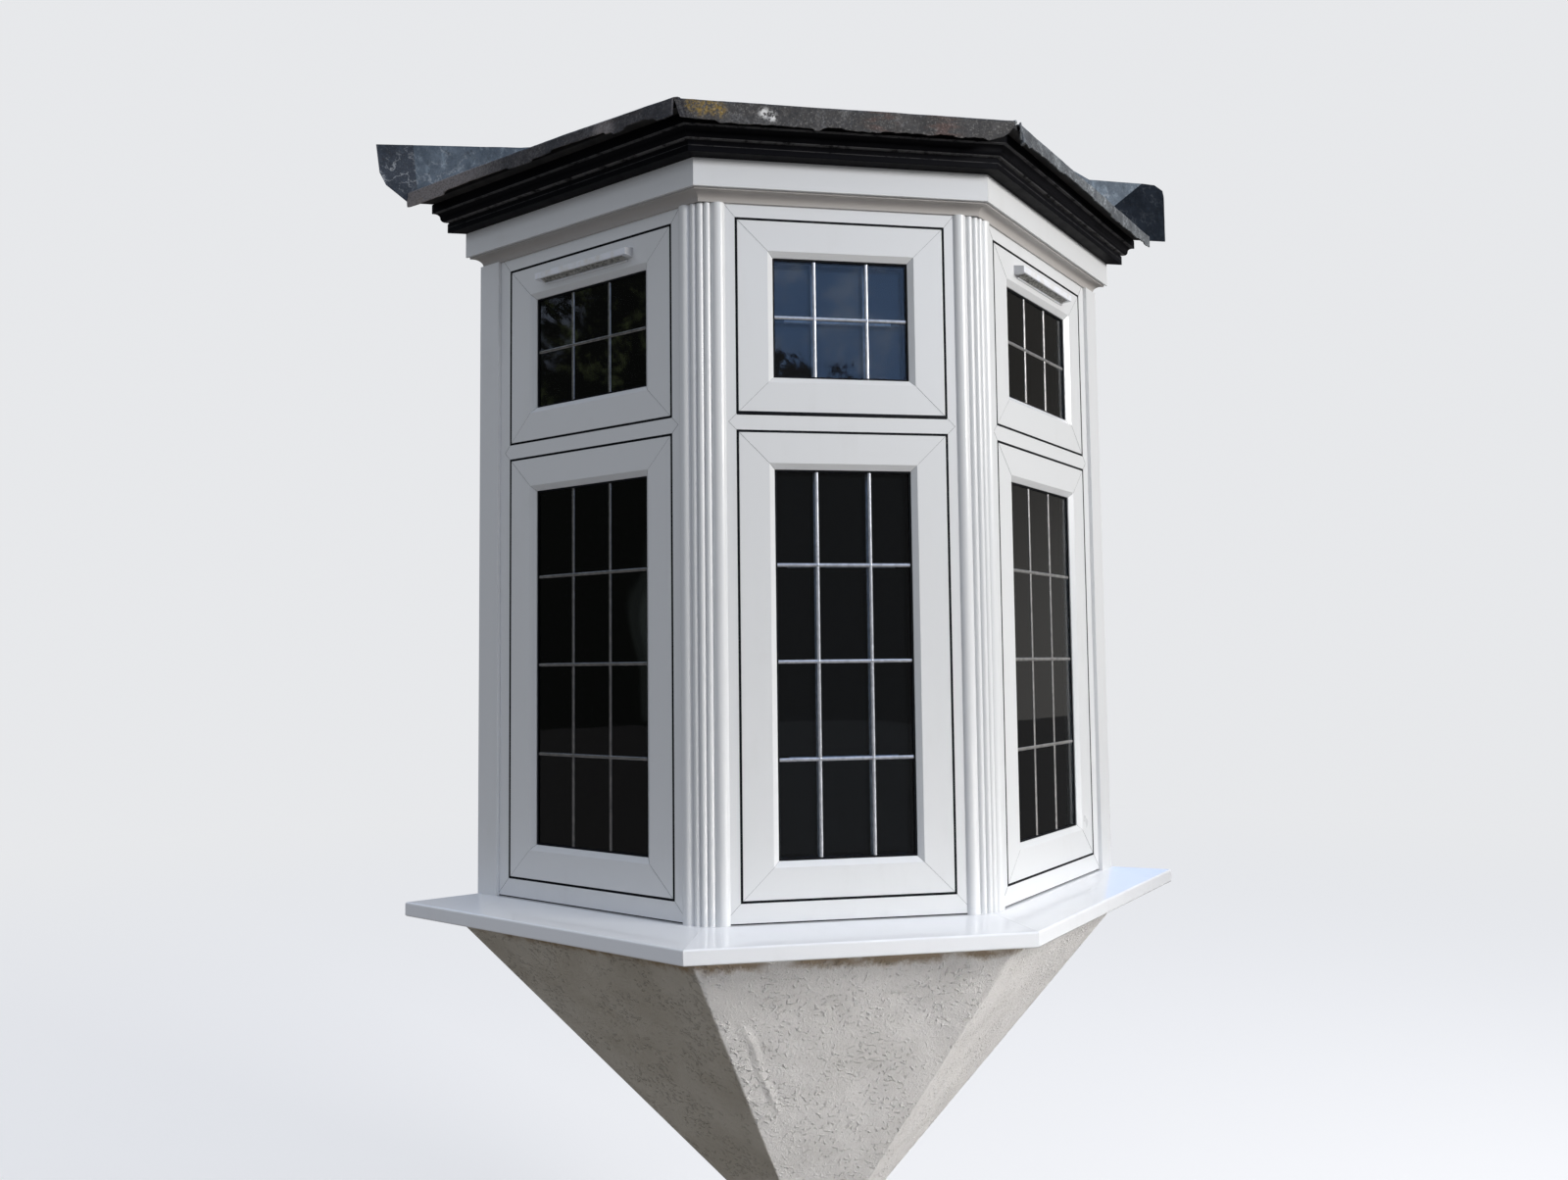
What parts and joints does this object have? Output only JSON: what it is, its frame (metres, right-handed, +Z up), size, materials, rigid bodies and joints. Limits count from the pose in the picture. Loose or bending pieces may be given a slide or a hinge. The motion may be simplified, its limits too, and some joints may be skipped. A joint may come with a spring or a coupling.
{
  "type": "bay window",
  "caption": "Oriel bay window on a half-pyramid rendered corbel, with canted double-glazed windows, fluted corner posts, a moulded cornice and a hipped lead roof with wall flashings.",
  "frame": {"origin": "on the outer face of the house wall, on the bay's centreline, at the underside of the sill, where the corbel's back face meets the wall", "axes": "+X to the right as seen from the street, +Y into the wall, +Z up; the front window faces -Y"},
  "size_m": [1.79, 0.527, 2.4249],
  "materials": {
    "upvc_white": "satin gloss white uPVC",
    "glass": "clear double glazing that reads dark",
    "render": "rough trowelled off-white cement render",
    "lead_sheet": "dull grey lead with a patchy brown and white patina",
    "black_paint": "weathered semi-gloss black paint on timber",
    "timber": "plain softwood and board",
    "plaster": "matt white plaster",
    "bay_pole": "mill-finish extruded aluminium",
    "vent": "satin off-white plastic",
    "handle": "white powder coat"
  },
  "bodies": {
    "root": {"base_board": "timber", "bay_poles": "bay_pole", "ceiling_board": "plaster", "corbel": "render", "cornice_front": "black_paint", "cornice_left": "black_paint", "cornice_right": "black_paint", "fascia_front": "upvc_white", "fascia_left": "upvc_white", "fascia_right": "upvc_white", "frame_front": "upvc_white", "frame_left": "upvc_white", "frame_right": "upvc_white", "glass_front": "glass", "glass_left": "glass", "glass_right": "glass", "glazing_beads_front": "upvc_white", "glazing_beads_left": "upvc_white", "glazing_beads_right": "upvc_white", "inner_covers": "upvc_white", "lead_front": "lead_sheet", "lead_left": "lead_sheet", "lead_right": "lead_sheet", "post_cover_left": "upvc_white", "post_cover_right": "upvc_white", "roof_core": "timber", "roof_deck": "timber", "sash_front_lower": "upvc_white", "sash_front_upper": "upvc_white", "sash_left_lower": "upvc_white", "sash_left_upper": "upvc_white", "sash_right_lower": "upvc_white", "sash_right_upper": "upvc_white", "sill_front": "upvc_white", "sill_left": "upvc_white", "sill_right": "upvc_white", "soffit_cove": "upvc_white", "trickle_vents": "vent", "wall_flashing": "lead_sheet", "wall_trim_left": "upvc_white", "wall_trim_right": "upvc_white", "window_board": "upvc_white", "window_handles": "handle"}
  },
  "joints": []
}
